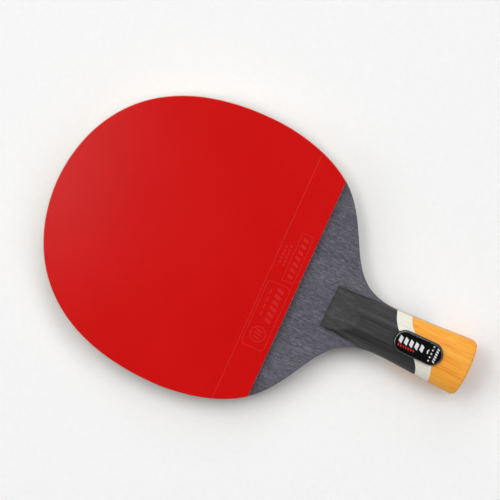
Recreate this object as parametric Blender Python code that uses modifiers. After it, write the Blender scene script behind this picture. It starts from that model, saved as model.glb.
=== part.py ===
"""Pen-hold table tennis paddle: a seven-ply blade, two rubbers and a short three-block handle.

The paddle lies flat, red side up. +Y runs from the butt to the head's tip, +X is to the right
seen from above, and Z = 0 is the table under the back half of the handle.
"""
import math

import bmesh
import bpy
from mathutils import Matrix, Vector
from mathutils.geometry import interpolate_bezier

# Driving dimensions, in metres
LENGTH = 0.235
HEAD_WIDTH = 0.151
NECK_WIDTH = 0.0258
BUTT_WIDTH = 0.0302
HANDLE_THICKNESS = 0.0220

TIP_Y = LENGTH / 2
BUTT_Y = -LENGTH / 2
WIDEST_Y = TIP_Y - 0.0876       # where the head is widest
SHOULDER = (0.0555, TIP_Y - 0.1430)   # where the outline turns from round to hollow
SHOULDER_ANGLE = math.radians(41)     # the outline's slope there, from straight across
NECK_Y = TIP_Y - 0.1878         # the narrowest place
CROWN_HANDLES = (0.0247, 0.0753)      # lengths of the curve handles, head to tail, per stretch
FLANK_HANDLES = (0.0140, 0.0217)
HOLLOW_HANDLES = (0.0252, 0.0285)
RUBBER_CUT_Y = TIP_Y - 0.1366   # the rubbers' straight lower edge, on the middle line
FRONT_CUT_SLOPE = math.tan(math.radians(0.6))   # the front rubber is glued on slightly turned
BACK_CUT_SLOPE = 0.0
BUTT_CORNER_RADIUS = 0.0030
BUTT_BULGE = 0.0008             # how far the butt's middle stands past its corners
BUTT_HANDLES = (0.0100, 0.0160)
BUTT_FLARE = 0.0008             # how much the handle still widens just before the butt

# Plies, from the middle outwards, and the glue line between flat plies
GLUE = 0.0001
CORE_PLY = 0.0030
CARBON_LAYER = 0.0002
INNER_VENEER = 0.0006
FACE_VENEER = 0.0004
SPONGE = 0.0020
TOPSHEET = 0.0017
TOPSHEET_INSET = 0.0003         # the topsheet is trimmed a little inside the sponge

# Handle: an oval bar whose front end is cut by a ramp
GRIP_FRONT_Y = TIP_Y - 0.1557
GRIP_FRONT_WIDTH = 0.0224
GRIP_HANDLES = (0.0120, 0.0100)
GRIP_OVERSIZE = 0.0004          # the rounded bar is this much wider than the plan outline cut from it
GRIP_FLAT_HALF = 0.0020         # half of the narrow flat band along the crown
GRIP_SIDE = 0.0004              # upright part of the side, below the round-over
RAMP_END_Y = GRIP_FRONT_Y - 0.0160
RAMP_STEP = 0.0015              # the ramp's height at the front edge
SEAT_GAP = 0.0003               # between blocks cut by each other

# The stripe crosses the handle as an S: ends 17 mm either side, and how flat each end runs
STRIPE_REACH = 0.0170
STRIPE_HEAD_EDGE = {"right": TIP_Y - 0.1881, "left": TIP_Y - 0.2109, "flat": (0.0198, 0.0171)}
STRIPE_BUTT_EDGE = {"right": TIP_Y - 0.1966, "left": TIP_Y - 0.2184, "flat": (0.0180, 0.0253)}

# Badge on the front of the handle
BADGE_LENGTH = 0.0272
BADGE_WIDTH = 0.0122
BADGE_Y = TIP_Y - 0.2061
BADGE_TAPE = 0.0003
BADGE_PLATE = 0.0005
BADGE_LENS = 0.0014
BADGE_LENS_ROUND = 0.0009
BADGE_TAPE_INSET = 0.0006
BADGE_SEAT_DEPTH = 0.0007       # a flat seat milled into the crown of the handle

CURVE_STEPS = 14                # points along each curve of the outline


def material(name, colour, roughness, metallic=0.0, alpha=1.0):
    """A Principled material with one colour and finish."""
    mat = bpy.data.materials.new(name)
    mat.use_nodes = True
    shader = mat.node_tree.nodes["Principled BSDF"]
    shader.inputs["Base Color"].default_value = (*colour, 1.0)
    shader.inputs["Roughness"].default_value = roughness
    shader.inputs["Metallic"].default_value = metallic
    shader.inputs["Alpha"].default_value = alpha
    mat.diffuse_color = (*colour, alpha)
    return mat


def collection(name):
    """A new collection in the scene."""
    made = bpy.data.collections.new(name)
    bpy.context.scene.collection.children.link(made)
    return made


# ---------------------------------------------------------------- outlines

def bezier(start, start_handle, end_handle, end, steps=CURVE_STEPS):
    """Points (x, y) along one cubic curve, both ends included."""
    knots = [Vector((*p, 0)) for p in (start, start_handle, end_handle, end)]
    return [(p.x, p.y) for p in interpolate_bezier(*knots, steps + 1)]


def head_side():
    """The blade's right side from the tip down to the neck."""
    half = HEAD_WIDTH / 2
    slope = Vector((math.cos(SHOULDER_ANGLE), math.sin(SHOULDER_ANGLE)))
    above = Vector(SHOULDER) + FLANK_HANDLES[1] * slope
    below = Vector(SHOULDER) - HOLLOW_HANDLES[0] * slope
    neck = NECK_WIDTH / 2
    crown_end = (half, WIDEST_Y + CROWN_HANDLES[1])
    crown = bezier((0, TIP_Y), (CROWN_HANDLES[0], TIP_Y), crown_end, (half, WIDEST_Y), 22)
    flank = bezier((half, WIDEST_Y), (half, WIDEST_Y - FLANK_HANDLES[0]), above, SHOULDER)
    hollow = bezier(SHOULDER, below, (neck, NECK_Y + HOLLOW_HANDLES[1]), (neck, NECK_Y))
    return crown + flank[1:] + hollow[1:]


def butt_side():
    """The handle's right side from the neck to the middle of the butt."""
    neck, butt = NECK_WIDTH / 2, BUTT_WIDTH / 2
    radius = BUTT_CORNER_RADIUS
    corner_y = BUTT_Y + BUTT_BULGE + radius
    start_handle = (neck, NECK_Y - BUTT_HANDLES[0])
    end_handle = (butt - BUTT_FLARE, corner_y + BUTT_HANDLES[1])
    side = bezier((neck, NECK_Y), start_handle, end_handle, (butt, corner_y), 8)
    turns = [math.radians(a) for a in range(15, 91, 15)]
    corner = [(butt - radius + radius * math.cos(a), corner_y - radius * math.sin(a)) for a in turns]
    shares = (0.75, 0.5, 0.25, 0.0)
    across = [((butt - radius) * share, BUTT_Y + BUTT_BULGE * share ** 2) for share in shares]
    return side[1:] + corner + across


def both_sides(side):
    """A closed outline from its right side, which starts and ends on the middle line."""
    left = [(-x, y) for x, y in reversed(side) if x > 1e-9]
    return side + left


def blade_outline():
    """The whole blade with its tang."""
    return both_sides(head_side() + butt_side())


def cut_side(slope):
    """The head's side down to a straight cut that rises by the slope towards that side."""
    side = [(x, y, y - RUBBER_CUT_Y - slope * x) for x, y in head_side()]
    kept = [p for p in side if p[2] > 0]
    above, below = Vector(kept[-1]), Vector(side[len(kept)])
    corner = above.lerp(below, above.z / (above.z - below.z))
    return [(x, y) for x, y, _ in kept] + [(corner.x, corner.y)]


def sponge_outline(slope):
    """The head above the rubber's straight cut."""
    left = [(-x, y) for x, y in reversed(cut_side(-slope)) if x > 1e-9]
    return cut_side(slope) + left


def topsheet_outline(slope):
    """The sponge's outline trimmed a little inside, but flush with the sponge along the cut."""
    outline = inset(sponge_outline(slope), TOPSHEET_INSET)
    corner = len(cut_side(slope)) - 1
    for i in (corner, corner + 1):
        x = outline[i][0]
        outline[i] = (x, RUBBER_CUT_Y + slope * x)
    return outline


def grip_outline():
    """The handle half: its front end lies on the blade, and it meets the tang's sides at the neck."""
    front, neck = GRIP_FRONT_WIDTH / 2, NECK_WIDTH / 2
    start_handle, end_handle = (front, GRIP_FRONT_Y - GRIP_HANDLES[0]), (neck, NECK_Y + GRIP_HANDLES[1])
    side = bezier((front, GRIP_FRONT_Y), start_handle, end_handle, (neck, NECK_Y), 8)
    return both_sides([(0, GRIP_FRONT_Y)] + side + butt_side())


def inset(outline, distance):
    """A closed outline moved inwards; the outlines here run clockwise."""
    moved = []
    count = len(outline)
    for i, point in enumerate(outline):
        before = Vector(point) - Vector(outline[i - 1])
        after = Vector(outline[(i + 1) % count]) - Vector(point)
        normals = [Vector((d.y, -d.x)).normalized() for d in (before, after)]
        mitre = (normals[0] + normals[1]).normalized()
        moved.append(tuple(Vector(point) + mitre * distance / max(mitre.dot(normals[0]), 0.3)))
    return moved


def stripe_edge(edge, shift):
    """One S-shaped edge of the stripe, from right to left, moved along Y by a shift."""
    right, left = edge["right"] + shift, edge["left"] + shift
    flat_right, flat_left = edge["flat"]
    start, end = (STRIPE_REACH, right), (-STRIPE_REACH, left)
    return bezier(start, (STRIPE_REACH - flat_right, right), (flat_left - STRIPE_REACH, left), end)


def pill(length, width):
    """A slot-shaped outline centred on the badge's place."""
    radius = width / 2
    straight = length / 2 - radius
    points = []
    for centre_y, start in ((straight, 180), (-straight, 0)):
        for step in range(13):
            angle = math.radians(start - 15 * step)
            points.append((radius * math.cos(angle), BADGE_Y + centre_y + radius * math.sin(angle)))
    return points


# ---------------------------------------------------------------- solids

def flat_piece(name, outline, low, high, mat=None):
    """A flat piece: a 2D curve filled on both faces and extruded from low to high."""
    curve = bpy.data.curves.new(name, "CURVE")
    curve.dimensions = "2D"
    curve.fill_mode = "BOTH"
    curve.extrude = (high - low) / 2
    spline = curve.splines.new("POLY")
    spline.points.add(len(outline) - 1)
    for point, (x, y) in zip(spline.points, outline):
        point.co = (x, y, 0, 1)
    spline.use_cyclic_u = True
    piece = bpy.data.objects.new(name, curve)
    piece.location.z = (low + high) / 2
    paddle.objects.link(piece)
    piece.parent = mid_plane
    if mat:
        curve.materials.append(mat)
    return piece


def as_mesh(piece):
    """Turn a curve object into a closed mesh object in its place."""
    mesh = evaluated_mesh(piece)
    shape = bmesh.new()
    shape.from_mesh(mesh)
    bmesh.ops.remove_doubles(shape, verts=shape.verts, dist=1e-6)
    bmesh.ops.recalc_face_normals(shape, faces=shape.faces)
    shape.to_mesh(mesh)
    shape.free()
    name = piece.name
    solid = bpy.data.objects.new(name + "_mesh", mesh)
    paddle.objects.link(solid)
    solid.parent = mid_plane
    solid.matrix_world = piece.matrix_world
    bpy.data.objects.remove(piece)
    solid.name = name
    return solid


def evaluated_mesh(piece):
    """A new mesh with the piece's modifiers applied."""
    bpy.context.view_layer.update()
    graph = bpy.context.evaluated_depsgraph_get()
    return bpy.data.meshes.new_from_object(piece.evaluated_get(graph))


def cutter(piece):
    """Mark an object as a cutter and move it to the cutters' collection."""
    piece.hide_render = True
    piece.display_type = "WIRE"
    paddle.objects.unlink(piece)
    cutters.objects.link(piece)
    return piece


def boolean(piece, tool, operation):
    """Add a Boolean modifier."""
    modifier = piece.modifiers.new(operation.title(), "BOOLEAN")
    modifier.operation = operation
    modifier.object = tool


def grip_half_width(y):
    """The width that the round-over of the handle follows: straight tapers between three places."""
    places = [
        (GRIP_FRONT_Y, GRIP_FRONT_WIDTH / 2),
        (NECK_Y, NECK_WIDTH / 2),
        (BUTT_Y, BUTT_WIDTH / 2),
    ]
    for (y0, w0), (y1, w1) in zip(places, places[1:]):
        if y >= y1:
            break
    return w0 + (w1 - w0) * (y0 - y) / (y0 - y1)


def grip_section(y):
    """Half of the handle's cross-section at y: upright side, elliptical round-over, flat top."""
    side = grip_half_width(y) + GRIP_OVERSIZE
    points = [(side, 0.0)]
    for angle in range(0, 91, 15):
        a = math.radians(angle)
        x = GRIP_FLAT_HALF + (side - GRIP_FLAT_HALF) * math.cos(a)
        z = GRIP_SIDE + (GRIP_HEIGHT - GRIP_SIDE) * math.sin(a)
        points.append((x, z))
    return points


def grip_barrel():
    """The rounded bar that a handle half is cut from: a loft, since its width changes along it."""
    shape = bmesh.new()
    stations = [GRIP_FRONT_Y + 0.004]
    stations += [NECK_Y + d for d in (0.020, 0.010, 0.004, 0.0, -0.004, -0.010, -0.020, -0.032)]
    stations += [BUTT_Y - 0.002]
    rings = []
    for y in stations:
        half = grip_section(y)
        ring = half + [(-x, z) for x, z in reversed(half)]
        rings.append([shape.verts.new((x, y, BLADE_FACE + GLUE + z)) for x, z in ring])
    for ahead, behind in zip(rings, rings[1:]):
        for i in range(len(ahead)):
            j = (i + 1) % len(ahead)
            shape.faces.new((ahead[i], ahead[j], behind[j], behind[i]))
    shape.faces.new(rings[0])
    shape.faces.new(rings[-1])
    bmesh.ops.recalc_face_normals(shape, faces=shape.faces)
    mesh = bpy.data.meshes.new("grip_barrel")
    shape.to_mesh(mesh)
    shape.free()
    return mesh


def ramp_cutter():
    """A wedge that slices the handle's front end from the step up to its full height."""
    reach = 0.006
    rise = (GRIP_HEIGHT - RAMP_STEP) / (GRIP_FRONT_Y - RAMP_END_Y)
    front_z = RAMP_STEP - reach * rise
    back_z = GRIP_HEIGHT + reach * rise
    profile = [
        (GRIP_FRONT_Y + reach, front_z),
        (RAMP_END_Y - reach, back_z),
        (RAMP_END_Y - reach, back_z + reach),
        (GRIP_FRONT_Y + reach, back_z + reach),
    ]
    wedge = flat_piece("ramp_cutter", profile, -BUTT_WIDTH, BUTT_WIDTH)
    stand_up = Matrix(((0, 0, 1, 0), (1, 0, 0, 0), (0, 1, 0, BLADE_FACE + GLUE), (0, 0, 0, 1)))
    bpy.context.view_layer.update()
    wedge.matrix_world = mid_plane.matrix_world @ stand_up
    return cutter(as_mesh(wedge))


def grip_block_shapes():
    """The blocks of a handle half, from head to butt, each plain and with the badge's seat milled in."""
    top = BLADE_FACE + GLUE + GRIP_HEIGHT
    outline = cutter(as_mesh(flat_piece("grip_outline_cutter", grip_outline(), 0, top + 0.004)))
    ramp = ramp_cutter()
    seat_outline = pill(BADGE_LENGTH + 2 * SEAT_GAP, BADGE_WIDTH + 2 * SEAT_GAP)
    seat = cutter(as_mesh(flat_piece("seat_cutter", seat_outline, top - BADGE_SEAT_DEPTH, top + 0.004)))
    wide = 2 * BUTT_WIDTH
    half_gap = SEAT_GAP / 2
    head_end = [(-wide, TIP_Y), (wide, TIP_Y)]
    butt_end = [(-wide, 2 * BUTT_Y), (wide, 2 * BUTT_Y)]
    head_edge, butt_edge = STRIPE_HEAD_EDGE, STRIPE_BUTT_EDGE
    regions = {
        "dark_block": head_end + stripe_edge(head_edge, half_gap),
        "stripe": stripe_edge(head_edge, -half_gap) + stripe_edge(butt_edge, half_gap)[::-1],
        "butt_block": butt_end + stripe_edge(butt_edge, -half_gap),
    }
    barrel = grip_barrel()
    shapes = {}
    for name, region in regions.items():
        block = bpy.data.objects.new(name, barrel)
        paddle.objects.link(block)
        block.parent = mid_plane
        boolean(block, outline, "INTERSECT")
        prism = flat_piece(name + "_region", region, -0.001, top + 0.006)
        boolean(block, cutter(as_mesh(prism)), "INTERSECT")
        if name == "dark_block":
            boolean(block, ramp, "DIFFERENCE")
        plain = evaluated_mesh(block)
        boolean(block, seat, "DIFFERENCE")
        shapes[name] = {"front": evaluated_mesh(block), "back": plain}
        bpy.data.objects.remove(block)
    return shapes


# ---------------------------------------------------------------- the paddle

def make_blade():
    """Seven plies with one outline, from the core outwards on both sides."""
    outline = blade_outline()
    core_wood = material("core_wood", (0.70, 0.50, 0.29), 0.6)
    flat_piece("core_ply", outline, -CORE_PLY / 2, CORE_PLY / 2, core_wood)
    layers = [
        ("carbon_layer", CARBON_LAYER, (0.03, 0.03, 0.035)),
        ("inner_veneer", INNER_VENEER, (0.72, 0.53, 0.32)),
        ("face_veneer", FACE_VENEER, (0.10, 0.095, 0.12)),
    ]
    low = CORE_PLY / 2
    for name, thickness, colour in layers:
        low += GLUE
        high = low + thickness
        mat = material(name, colour, 0.55)
        flat_piece("front_" + name, outline, low, high, mat)
        flat_piece("back_" + name, outline, -high, -low, mat)
        low = high


def make_rubbers():
    """A sponge and a topsheet on each face: red in front, black behind."""
    sponge_low = BLADE_FACE + GLUE
    sponge_high = sponge_low + SPONGE
    sheet_low = sponge_high + GLUE
    sheet_high = sheet_low + TOPSHEET
    foam = material("sponge", (0.86, 0.70, 0.50), 0.9)
    red = material("red_rubber", (0.58, 0.008, 0.008), 0.42)
    black = material("black_rubber", (0.012, 0.012, 0.014), 0.42)
    flat_piece("front_sponge", sponge_outline(FRONT_CUT_SLOPE), sponge_low, sponge_high, foam)
    flat_piece("front_topsheet", topsheet_outline(FRONT_CUT_SLOPE), sheet_low, sheet_high, red)
    flat_piece("back_sponge", sponge_outline(BACK_CUT_SLOPE), -sponge_high, -sponge_low, foam)
    flat_piece("back_topsheet", topsheet_outline(BACK_CUT_SLOPE), -sheet_high, -sheet_low, black)


def make_handle():
    """Two handle halves: the back one is the front one turned over, without the badge's seat."""
    mats = {
        "dark_block": material("dark_grip_wood", (0.065, 0.062, 0.058), 0.55),
        "stripe": material("pale_grip_wood", (0.78, 0.73, 0.61), 0.5),
        "butt_block": material("orange_grip_wood", (0.86, 0.40, 0.075), 0.45),
    }
    for name, shapes in grip_block_shapes().items():
        for side, turn in (("front", 0.0), ("back", math.pi)):
            mesh = shapes[side]
            mesh.materials.clear()
            mesh.materials.append(mats[name])
            mesh.shade_smooth()
            mesh.set_sharp_from_angle(angle=math.radians(25))
            block = bpy.data.objects.new(f"{side}_grip_{name}", mesh)
            paddle.objects.link(block)
            block.parent = mid_plane
            block.rotation_euler.y = turn


def make_badge():
    """The badge on the front of the handle: adhesive tape, dark plate and clear lens."""
    tape_low = BLADE_FACE + GLUE + GRIP_HEIGHT - BADGE_SEAT_DEPTH + GLUE
    plate_low = tape_low + BADGE_TAPE + GLUE
    lens_low = plate_low + BADGE_PLATE + GLUE
    plate_outline = pill(BADGE_LENGTH, BADGE_WIDTH)
    tape_outline = pill(BADGE_LENGTH - 2 * BADGE_TAPE_INSET, BADGE_WIDTH - 2 * BADGE_TAPE_INSET)
    foam = material("badge_foam", (0.75, 0.75, 0.75), 0.8)
    dark = material("badge_black", (0.006, 0.006, 0.007), 0.3)
    clear = material("badge_clear", (0.9, 0.9, 0.9), 0.05, alpha=0.35)
    flat_piece("badge_tape", tape_outline, tape_low, tape_low + BADGE_TAPE, foam)
    flat_piece("badge_plate", plate_outline, plate_low, plate_low + BADGE_PLATE, dark)
    lens = as_mesh(flat_piece("badge_lens", plate_outline, lens_low, lens_low + BADGE_LENS, clear))
    weights = lens.data.attributes.new("bevel_weight_edge", "FLOAT", "EDGE")
    for edge in lens.data.edges:
        on_top = all(lens.data.vertices[v].co.z > 0 for v in edge.vertices)
        weights.data[edge.index].value = 1.0 if on_top else 0.0
    rounding = lens.modifiers.new("Rounded top", "BEVEL")
    rounding.limit_method = "WEIGHT"
    rounding.width = BADGE_LENS_ROUND
    rounding.segments = 3


for old in list(bpy.data.objects):
    bpy.data.objects.remove(old)

paddle = collection("table_tennis_paddle")
cutters = collection("cutters")
mid_plane = bpy.data.objects.new("blade_mid_plane", None)
mid_plane.location.z = HANDLE_THICKNESS / 2
paddle.objects.link(mid_plane)
bpy.context.view_layer.update()

BLADE_FACE = CORE_PLY / 2 + 3 * GLUE + CARBON_LAYER + INNER_VENEER + FACE_VENEER
GRIP_HEIGHT = HANDLE_THICKNESS / 2 - BLADE_FACE - GLUE

make_blade()
make_rubbers()
make_handle()
make_badge()
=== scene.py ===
import math

import bmesh
import bpy
import numpy as np
from mathutils import Matrix, Vector
from mathutils.geometry import interpolate_bezier


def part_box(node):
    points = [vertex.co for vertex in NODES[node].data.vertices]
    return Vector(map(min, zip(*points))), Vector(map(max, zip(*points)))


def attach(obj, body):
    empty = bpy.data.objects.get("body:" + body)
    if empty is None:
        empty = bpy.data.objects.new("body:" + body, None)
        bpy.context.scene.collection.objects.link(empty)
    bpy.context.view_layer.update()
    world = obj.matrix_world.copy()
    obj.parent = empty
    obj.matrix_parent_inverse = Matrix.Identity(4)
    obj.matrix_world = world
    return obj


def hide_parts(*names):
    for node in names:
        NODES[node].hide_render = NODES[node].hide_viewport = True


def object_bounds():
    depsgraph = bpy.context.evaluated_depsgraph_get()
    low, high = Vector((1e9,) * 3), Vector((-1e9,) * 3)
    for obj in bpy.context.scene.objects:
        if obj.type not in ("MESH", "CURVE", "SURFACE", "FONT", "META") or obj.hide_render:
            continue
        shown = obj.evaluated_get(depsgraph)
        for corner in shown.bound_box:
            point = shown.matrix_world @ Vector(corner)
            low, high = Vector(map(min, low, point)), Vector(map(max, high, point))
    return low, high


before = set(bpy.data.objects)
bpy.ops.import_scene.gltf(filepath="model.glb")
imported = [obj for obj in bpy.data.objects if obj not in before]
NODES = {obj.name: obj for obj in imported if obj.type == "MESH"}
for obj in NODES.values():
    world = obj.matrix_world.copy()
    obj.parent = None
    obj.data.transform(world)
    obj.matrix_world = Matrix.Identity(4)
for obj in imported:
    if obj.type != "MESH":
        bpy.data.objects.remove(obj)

MM = 0.001
CAD_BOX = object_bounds()

# ---------------------------------------------------------------- places read from the frame

PADDLE_LOW, PADDLE_HIGH = CAD_BOX
TIP_Y, BUTT_Y = PADDLE_HIGH.y, PADDLE_LOW.y
FACE_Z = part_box("front_face_veneer")[1].z          # the blade's front face
BACK_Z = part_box("back_face_veneer")[0].z
MID_Z = (FACE_Z + BACK_Z) / 2
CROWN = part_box("front_grip_dark_block")[1].z - FACE_Z   # the handle half's height over the blade
GRIP_FRONT_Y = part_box("front_grip_dark_block")[1].y
CUT_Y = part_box("back_topsheet")[0].y               # the rubbers' straight edge, on the middle line
BADGE_LOW, BADGE_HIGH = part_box("badge_plate")

# ---------------------------------------------------------------- sizes of the fine shapes

FLAT_RING = 1.4                   # a rounded rim is followed by a level ring, this many radii in
CURVE_STEP = 1.2 * MM             # spacing of the points along a smoothed outline
CORNER_ANGLE = math.radians(28)   # where an outline turns by more than this, it has a corner
RIM_ROUND = 0.22 * MM             # softening of the face veneers' and the skins' rims

NECK_Y = TIP_Y - 187.8 * MM       # where the handle is narrowest
NECK_HALF = 12.9 * MM
GRIP_FRONT_HALF = 11.4 * MM
GRIP_FLAT_HALF = 2.0 * MM         # half of the flat band along the handle's crown
GRIP_SIDE = 0.4 * MM              # the section's upright side, at the glue line
BUTT_CORNER = 3.0 * MM
BUTT_BULGE = 0.8 * MM
BUTT_EDGE_ROUND = 1.3 * MM
RAMP_STEP = 1.5 * MM              # the ramp's height where it starts
RAMP_LENGTH = 16.0 * MM
RAMP_CREASE = 0.5 * MM            # rounding of the crease between the ramp and the oval
RAMP_ROUND = 0.35 * MM            # rounding of the ramp's front edge
STRIPE_REACH = 17.0 * MM          # the stripe's curves end this far out, a little past the wood
# each edge of the stripe: its y at the right and at the left, then its curve's handle lengths there
STRIPE_HEAD = (TIP_Y - 188.1 * MM, TIP_Y - 210.9 * MM, 19.8 * MM, 17.1 * MM)
STRIPE_BUTT = (TIP_Y - 196.6 * MM, TIP_Y - 218.4 * MM, 18.0 * MM, 25.3 * MM)
SEAM = 0.02 * MM                  # half the gap between glued blocks

CUT_LIP = 0.1 * MM                # the sponge shows this much beyond the skin along the cut
SHEET_SKIN = 0.95 * MM            # the topsheet without its pimples
FOAM_DRAWN_IN = 0.05 * MM         # the sponge's cut edge lies this far in, give or take the next value
FOAM_UNEVEN = 0.035 * MM
PIMPLE_PITCH = 2.3 * MM
PIMPLE_FOOT = 0.88 * MM           # a pimple's radius at the sheet, and at the sponge
PIMPLE_TIP = 0.78 * MM
PIMPLE_MARGIN = 0.95 * MM         # pimples are made between these distances from the edge
PIMPLE_BAND = 7.0 * MM
MARK_HEIGHT = 0.16 * MM
MARK_SLOPE = 0.08 * MM            # how far a mark's sloping side leans in
MARK_SUNK = 0.04 * MM             # how deep a mark reaches into the skin
MARK_TURN = math.radians(0.85)    # the moulded marks lie a little turned, as the front rubber does

LENS_MARGIN = 0.06 * MM           # the dome's foot lies this far inside the plate's rim
PRINT_SUNK, PRINT_HIGH = 0.01 * MM, 0.02 * MM   # how far the print reaches into and above its plate


# ---------------------------------------------------------------- mesh helpers

def finish_piece(obj, slot, *nodes):
    """Every piece rides on the one body and may stand for CAD nodes, which it hides. The slot is not used.
    """
    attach(obj, "root")
    if nodes:
        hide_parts(*nodes)
    return obj


def shade(mesh, smooth_angle):
    """Smooth shading where faces meet below an angle in degrees."""
    mesh.shade_smooth()
    mesh.set_sharp_from_angle(angle=math.radians(smooth_angle))


def mesh_object(name, verts, faces, smooth_angle=30):
    """A new object from points and faces, with outward faces and smooth shading below an angle."""
    shape = bmesh.new()
    made = [shape.verts.new(v) for v in verts]
    for face in faces:
        shape.faces.new([made[i] for i in face])
    bmesh.ops.recalc_face_normals(shape, faces=shape.faces)
    mesh = bpy.data.meshes.new(name)
    shape.to_mesh(mesh)
    shape.free()
    shade(mesh, smooth_angle)
    obj = bpy.data.objects.new(name, mesh)
    bpy.context.scene.collection.objects.link(obj)
    return obj


def joined(name, parts, smooth_angle=30):
    """One object from several (verts, faces) pairs."""
    verts, faces = [], []
    for part_verts, part_faces in parts:
        first = len(verts)
        verts += part_verts
        faces += [[first + i for i in face] for face in part_faces]
    return mesh_object(name, verts, faces, smooth_angle)


def normals_2d(outline):
    """The outward unit direction at each point of a closed clockwise outline, and its mitre length."""
    points = np.array(outline)
    before = points - np.roll(points, 1, axis=0)
    after = np.roll(points, -1, axis=0) - points
    outward = []
    for d in (before, after):
        d = d / np.linalg.norm(d, axis=1)[:, None]
        outward.append(np.stack([-d[:, 1], d[:, 0]], axis=1))
    middle = outward[0] + outward[1]
    middle /= np.linalg.norm(middle, axis=1)[:, None]
    return middle / np.maximum((middle * outward[0]).sum(1), 0.4)[:, None]


def offset(outline, distance):
    """A closed clockwise outline moved outwards by a distance."""
    return np.array(outline) + normals_2d(outline) * distance


def band(count, low, high):
    """The faces that join two rings of a stack, given by their places in it."""
    faces = []
    for i in range(count):
        j = (i + 1) % count
        faces.append([low * count + i, low * count + j, high * count + j, high * count + i])
    return faces


def stack(rings):
    """A closed solid from rings of equal length, bottom to top, with a flat cap at each end."""
    count = len(rings[0])
    verts = [tuple(p) for ring in rings for p in ring]
    faces = []
    for r in range(len(rings) - 1):
        faces += band(count, r, r + 1)
    faces.append(list(range(count)))
    faces.append([(len(rings) - 1) * count + i for i in range(count)])
    return verts, faces


def level(outline, z):
    """An outline as 3D points at one height."""
    return [(x, y, z) for x, y in outline]


def rounded_rim(outline, height, radius, steps=4):
    """Rings that turn a rim over onto a solid's flat end. The last one keeps that end shaded flat."""
    rings = []
    for k in range(steps + 1):
        a = math.pi / 2 * k / steps
        inset = radius * (1 - math.cos(a))
        drop = radius * (1 - math.sin(a))
        rings.append(level(offset(outline, -inset), height - drop))
    return rings + [level(offset(outline, -FLAT_RING * radius), height)]


def slab(outline, low, high, round_low=0.0, round_high=0.0):
    """A flat solid whose rims may be rounded."""
    bottom = [level(outline, low)]
    if round_low:
        upside_down = rounded_rim(outline, -low, round_low)
        bottom = [[(x, y, -z) for x, y, z in ring] for ring in reversed(upside_down)]
    top = rounded_rim(outline, high, round_high) if round_high else [level(outline, high)]
    return stack(bottom + top)


def outline_of(node):
    """The outline of a flat CAD node, clockwise, from the rim of its upper face."""
    shape = bmesh.new()
    shape.from_mesh(NODES[node].data)
    bmesh.ops.remove_doubles(shape, verts=shape.verts, dist=1e-6)
    top = max(v.co.z for v in shape.verts)
    cap = {f for f in shape.faces if all(abs(v.co.z - top) < 1e-6 for v in f.verts)}
    follows = {}
    for edge in shape.edges:
        if len(cap & set(edge.link_faces)) == 1:
            for vert in edge.verts:
                follows.setdefault(vert, []).append(edge.other_vert(vert))
    start = max(follows, key=lambda v: v.co.y)
    path = [start, max(follows[start], key=lambda v: v.co.x)]
    while True:
        ahead = [v for v in follows[path[-1]] if v is not path[-2]][0]
        if ahead is start:
            break
        path.append(ahead)
    points = [(v.co.x, v.co.y) for v in path]
    shape.free()
    return points


def refined(outline, spacing=CURVE_STEP):
    """A smooth curve through an outline's points, with corners kept sharp."""
    points = [Vector(p) for p in outline]
    count = len(points)

    def is_corner(i):
        a = points[i] - points[i - 1]
        b = points[(i + 1) % count] - points[i]
        return a.angle(b) > CORNER_ANGLE

    smooth = []
    for i in range(count):
        p1, p2 = points[i], points[(i + 1) % count]
        p0 = 2 * p1 - p2 if is_corner(i) else points[i - 1]
        p3 = 2 * p2 - p1 if is_corner((i + 1) % count) else points[(i + 2) % count]
        chord = (p2 - p1).length
        slope1 = (p2 - p0) * chord / (chord + (p1 - p0).length)
        slope2 = (p3 - p1) * chord / (chord + (p3 - p2).length)
        steps = max(1, round(chord / spacing))
        for k in range(steps):
            t = k / steps
            h = (2 * t**3 - 3 * t**2 + 1, t**3 - 2 * t**2 + t, -2 * t**3 + 3 * t**2, t**3 - t**2)
            smooth.append(tuple(h[0] * p1 + h[1] * slope1 + h[2] * p2 + h[3] * slope2))
    return smooth


def bezier(start, start_handle, end_handle, end, steps):
    """Points (x, y) along one cubic curve, both ends included."""
    knots = [Vector((*p, 0)) for p in (start, start_handle, end_handle, end)]
    return [(p.x, p.y) for p in interpolate_bezier(*knots, steps + 1)]


# ---------------------------------------------------------------- material helpers

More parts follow.
